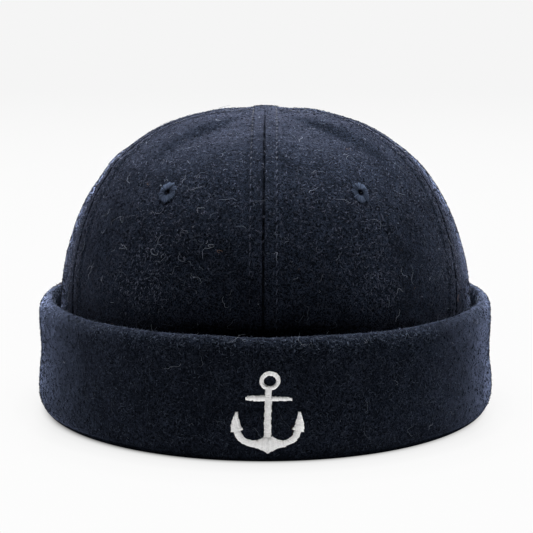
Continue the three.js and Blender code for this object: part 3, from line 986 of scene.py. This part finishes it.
def cuff_places(count, random):
    """Random points of the cuff's mesh grid, on its face and roll, with the directions round it,
    up its section and out of the cloth."""
    shown = np.flatnonzero((section_height > nap_above_floor) & (section_out > nap_outside))
    row = shown[random.integers(0, len(shown), count)]
    turn = random.uniform(0, 2 * math.pi, count)
    column = np.floor(turn / (2 * math.pi) * cuff_sides).astype(int)
    tiny = 1e-3
    offset = section_out[row]
    around = unit(cuff_point(offset, turn + tiny, 0) - cuff_point(offset, turn - tiny, 0))
    upright = np.array([0, 0, 1])
    away = unit(np.cross(around, upright))
    along = section_along[row]
    up = away * along[:, :1] + upright * along[:, 1:]
    out = away * along[:, 1:] - upright * along[:, :1]
    rise = cuff_rise[column, row]
    point = cuff_point(offset, turn, section_height[row]) + out * rise[:, None]
    return {"point": point, "up": up, "around": around, "out": out}


def nap_points(place, random):
    """Four points a fibre: a root in the cloth, a tip that stands a little off it, and the left
    and right of its middle, which is the widest and highest. Fibres on top lie flatter."""
    count = len(place["point"])
    heading = random.uniform(0, 2 * math.pi, count)[:, None]
    reach = random.uniform(*nap_lengths, count)[:, None]
    along = place["up"] * np.cos(heading) + place["around"] * np.sin(heading)
    beside = np.cross(place["out"], along)
    flat = 1 - nap_flatter * smooth_step(place["out"][:, 2:], *nap_flatter_between)
    lift = np.abs(random.normal(0, nap_lift, count))[:, None] * flat + nap_least_lift
    tip_lift = np.abs(random.normal(0, nap_tip_lift, count))[:, None] * flat
    half = nap_half * random.uniform(*nap_halves, count)[:, None]
    tilt = random.normal(0, nap_tilt, count)[:, None] * half
    root = place["point"] - nap_sink * place["out"]
    middle = place["point"] + along * reach * random.uniform(*nap_bends, count)[:, None]
    left = middle + beside * half + place["out"] * (lift + tilt)
    right = middle - beside * half + place["out"] * (lift - tilt)
    tip = place["point"] + along * reach + place["out"] * tip_lift
    points = np.stack([root, tip, left, right], axis=1)
    points[..., 2] = np.maximum(points[..., 2], nap_lowest)
    return points


def crown_painted_light(share, angle):
    """Brightness of the lightest nap at a share of the crown's length, as painted light and shade: it
    rises from the low front to the top, starts higher on the flanks, and is dimmed in one patch on
    each of them."""
    aside = np.sin(angle) ** 2
    flank = sum(height * smooth_step(aside, low, high) for height, low, high in flank_steps)
    flank = flank + bell(aside, *flank_bell)
    flank = flank * (flank_scale - flank_fall * smooth_step(share, *flank_fall_between))
    low = front_painted_shade + flank * smooth_step(share, *flank_between)
    bright = low + (top_painted_light - low) * smooth_step(share, *bright_between)
    dim = sum(
        bell(aside, *across) * bell(share, *along) * (hand * angle > 0)
        for hand, across, along in painted_shade_patches
    )
    return bright * (1 - dim)


def nap_material(name, dark, light, sheen):
    """Loose wool fibres, each with its own shade, softly lit through their sheen."""
    material, tree = new_material(name)
    tone = shader_node(tree, "Attribute", attribute_name="tone")
    cover(tree, {
        "Base Color": two_tone(tree, tone.outputs["Fac"], dark, light),
        "Roughness": 1.0,
        "Specular IOR Level": 0.0,
        "Sheen Weight": sheen,
        "Sheen Roughness": 0.24,
        "Sheen Tint": (*wool_sheen, 1),
    })
    return material


nap_faces = np.array([(0, 3, 2), (1, 2, 3), (0, 2, 1), (0, 1, 3)])
nap_random = np.random.default_rng(41)
nap_length, nap_angle = crown_places(nap_on_crown, nap_random)
nap_share = nap_length / crown_length
on_crown = crown_surface(nap_length, nap_angle)
# The lightest nap tone carries painted light and shade; evener shades low on the flanks lighten it
# there, painted light.
crown_painted_brightest = crown_painted_light(nap_share, nap_angle)
low_flank = smooth_step(np.sin(nap_angle) ** 2, *evener_aside) * smooth_step(nap_share, *evener_below)
crown_power = crown_contrast - crown_evener * low_flank
on_cuff = cuff_places(nap_on_cuff, nap_random)
beside = np.abs(on_cuff["point"][:, 0])
rolled = smooth_step(on_cuff["point"][:, 2], *roll_between) * smooth_step(beside, *roll_front_between)
# Lighter nap on the front of the cuff's roll and evener shades at its ends are painted light.
cuff_bright = bright_cuff + roll_painted_light * rolled
cuff_power = cuff_contrast - cuff_evener * smooth_step(beside, *evener_ends)
crown_fibre = nap_material("crown_fibre", nap_dark, (0.084, 0.092, 0.128), 0.13)
cuff_fibre = nap_material("cuff_fibre", nap_dark, (0.078, 0.094, 0.132), 0.4)
for name, place, count, brightest, power, fibre in (
    ("crown_nap", on_crown, nap_on_crown, crown_painted_brightest, crown_power, crown_fibre),
    ("cuff_nap", on_cuff, nap_on_cuff, cuff_bright, cuff_power, cuff_fibre),
):
    points = nap_points(place, nap_random)
    nap = add_piece(name, points, [many(nap_faces, count, 4)], fibre, smooth=False)
    set_tone(nap, np.repeat(brightest * nap_random.uniform(0, 1, count) ** power, 4))

# Stray fibres. Longer pale curly hairs and a few warm brown ones have caught on the felt and lie
# loosely on the crown and the cuff.
stray_shortest = 0.9 * mm
stray_longer = 10 * mm
stray_longer_power = 2.4
stray_radius = 0.05 * mm
stray_radii = (0.6, 1.3)
stray_taper = 0.4
stray_curl = 0.14
stray_drift = 0.5
stray_lift = 0.16 * mm
stray_wander = 0.05 * mm
stray_lowest = 0.4 * mm
stray_gather = 1.6
cap_radius = 95 * mm
stray_points = 13
stray_sides = 3


def stray_rings(place, random):
    """Rings along each hair: a walk over the cloth, as round as the cap, whose heading drifts with
    a curl of its own, lifted a little and tapered to both ends."""
    count = len(place["point"])
    reach = stray_shortest + stray_longer * random.uniform(0, 1, count) ** stray_longer_power
    curl = random.normal(0, stray_curl, (count, 1))
    curl = curl + random.normal(0, stray_drift, (count, stray_points))
    heading = random.uniform(0, 2 * math.pi, (count, 1)) + np.cumsum(curl, axis=1)
    step = (reach / stray_points)[:, None]
    right = np.cumsum(step * np.cos(heading), axis=1)[..., None]
    rise = np.cumsum(step * np.sin(heading), axis=1)[..., None]
    bulge = (right ** 2 + rise ** 2) / (2 * cap_radius)
    wander = np.cumsum(random.normal(0, stray_wander, (count, stray_points)), axis=1)
    lift = stray_lift + np.abs(wander)[..., None] - bulge
    up, around, out = (place[key][:, None] for key in ("up", "around", "out"))
    middle = place["point"][:, None] + right * around + rise * up + lift * out
    middle[..., 2] = np.maximum(middle[..., 2], stray_lowest)
    along = unit(np.gradient(middle, axis=1))
    beside = unit(np.cross(along, out))
    taper = np.sin(math.pi * np.linspace(0.08, 0.92, stray_points)) ** stray_taper
    thick = stray_radius * random.uniform(*stray_radii, count)[:, None] * taper
    return tube_rings(middle, thick, beside, out, stray_sides)


stray_random = np.random.default_rng(51)
for name, crown_count, cuff_count, dark, light in (
    ("pale_stray", 900, 180, (0.026, 0.032, 0.045), (0.225, 0.245, 0.29)),
    ("brown_stray", 30, 9, (0.05, 0.032, 0.024), (0.16, 0.1, 0.07)),
):
    rings = np.concatenate([
        stray_rings(crown_surface(*crown_places(crown_count, stray_random, stray_gather)), stray_random),
        stray_rings(cuff_places(cuff_count, stray_random), stray_random),
    ])
    faces = tube_faces(len(rings), stray_points, stray_sides)
    strays = add_piece(name + "s", rings, faces, nap_material(name, dark, light, 0.0))
    shade = stray_random.uniform(0, 1, len(rings)) ** 2
    set_tone(strays, np.repeat(shade, stray_points * stray_sides))

# Floor and light. The cap stands on a wide white floor in a white room, under one large soft
# light above and behind it, with a smaller one low behind and a weak one on each side. The floor
# glows, with a painted shadow close round the cap, and throws light back up onto the cuff.
floor_reach = 12.0
floor_sides = 96
shade_between = (0.94, 1.3)
shade_shift = 0.7 * mm
floor_shades = [
    (0.94, 0.02), (0.95, 0.09), (0.96, 0.24), (0.97, 0.46), (0.98, 0.66),
    (0.99, 0.78), (1.0, 0.86), (1.04, 0.925), (1.13, 0.98), (1.3, 1.0),
]
room_level = 0.913
floor_level = 0.975


def floor_material():
    """White glow. Seen by the camera it fades to the room's white with distance, and a table gives
    its painted shadow by ovals round the cap, eased beside the cap's ends. The light that it throws
    up is stronger near the cap, but weak right at the cuff, which paints shade onto the cuff's foot."""
    material, tree = new_material("white_floor")
    place = shader_node(tree, "TexCoord").outputs["Object"]
    footprint = shader_node(tree, "Mapping", {
        "Vector": place,
        "Location": (shade_shift / cuff_half_width, 0, 0),
        "Scale": (1 / cuff_half_width, 1 / cuff_half_depth, 0),
    }).outputs["Vector"]
    away, oval = (
        shader_node(tree, "VectorMath", {0: point}, operation="LENGTH").outputs["Value"]
        for point in (place, footprint)
    )
    shade = shader_node(tree, "ValToRGB", {
        "Fac": remap(tree, oval, shade_between, (0.0, 1.0)),
    })
    stops = shade.color_ramp.elements
    for at, level in floor_shades:
        stop = stops.new((at - shade_between[0]) / (shade_between[1] - shade_between[0]))
        stop.color = (level, level, level, 1)
    stops.remove(stops[0])
    stops.remove(stops[-1])
    aside = shader_node(tree, "SeparateXYZ", {"Vector": footprint}).outputs["X"]
    easing = remap(tree, maths(tree, "ABSOLUTE", aside), (0.87, 1.0), (1.0, 0.45))
    shown = remap(tree, away, (0.3, 2.9), (floor_level, room_level), "SMOOTHSTEP")
    bounce = remap(tree, away, (0.22, 0.6), (1.5, 0.15), "SMOOTHSTEP")
    near = remap(tree, oval, (0.97, 1.12), (0.03, 1.0), "SMOOTHSTEP")
    seen = shader_node(tree, "LightPath").outputs["Is Camera Ray"]
    glow = shader_node(tree, "Emission", {
        "Color": maths(tree, "POWER", shade.outputs["Color"], easing),
        "Strength": remap(tree, seen, (0.0, 1.0), (maths(tree, "MULTIPLY", bounce, near), shown)),
    })
    shader_node(tree, "OutputMaterial", {"Surface": glow.outputs["Emission"]})
    return material


floor_turn = 2 * math.pi * np.arange(floor_sides) / floor_sides
floor_points = floor_reach * np.stack([np.cos(floor_turn), np.sin(floor_turn), 0 * floor_turn], axis=-1)
floor_mesh = bpy.data.meshes.new("floor")
floor_mesh.from_pydata(floor_points.tolist(), [], [list(range(floor_sides))])
floor_mesh.materials.append(floor_material())
floor = bpy.data.objects.new("floor", floor_mesh)
scene.collection.objects.link(floor)

for name, place, size, power in (
    ("top_light", (0.2, 0.55, 1.6), 1.6, 166),
    ("back_light", (0, 1.7, 0.8), 0.7, 260),
    ("left_light", (-1.1, 0.6, 0.3), 0.9, 29),
    ("right_light", (1.1, 0.5, 0.35), 0.9, 13),
):
    light_data = bpy.data.lights.new(name, "AREA")
    light_data.shape = "SQUARE"
    light_data.size = size
    light_data.energy = power
    light = bpy.data.objects.new(name, light_data)
    light.location = place
    level = math.hypot(place[0], place[2])
    light.rotation_euler = (-math.atan2(place[1], level), math.atan2(place[0], place[2]), 0)
    scene.collection.objects.link(light)

world = bpy.data.worlds.new("white_room")
world.use_nodes = True
room = world.node_tree
room.nodes.clear()
seen = shader_node(room, "LightPath").outputs["Is Camera Ray"]
heading = shader_node(room, "TexCoord").outputs["Generated"]
behind = shader_node(room, "SeparateXYZ", {"Vector": heading}).outputs["Y"]
lit = remap(room, behind, (-0.3, 0.7), (0.05, 1.0), "SMOOTHSTEP")
glow = shader_node(room, "Background", {
    "Color": (1, 1, 1, 1), "Strength": remap(room, seen, (0.0, 1.0), (lit, room_level)),
})
shader_node(room, "OutputWorld", {"Surface": glow.outputs["Background"]})
scene.world = world
scene.view_settings.view_transform = "Standard"
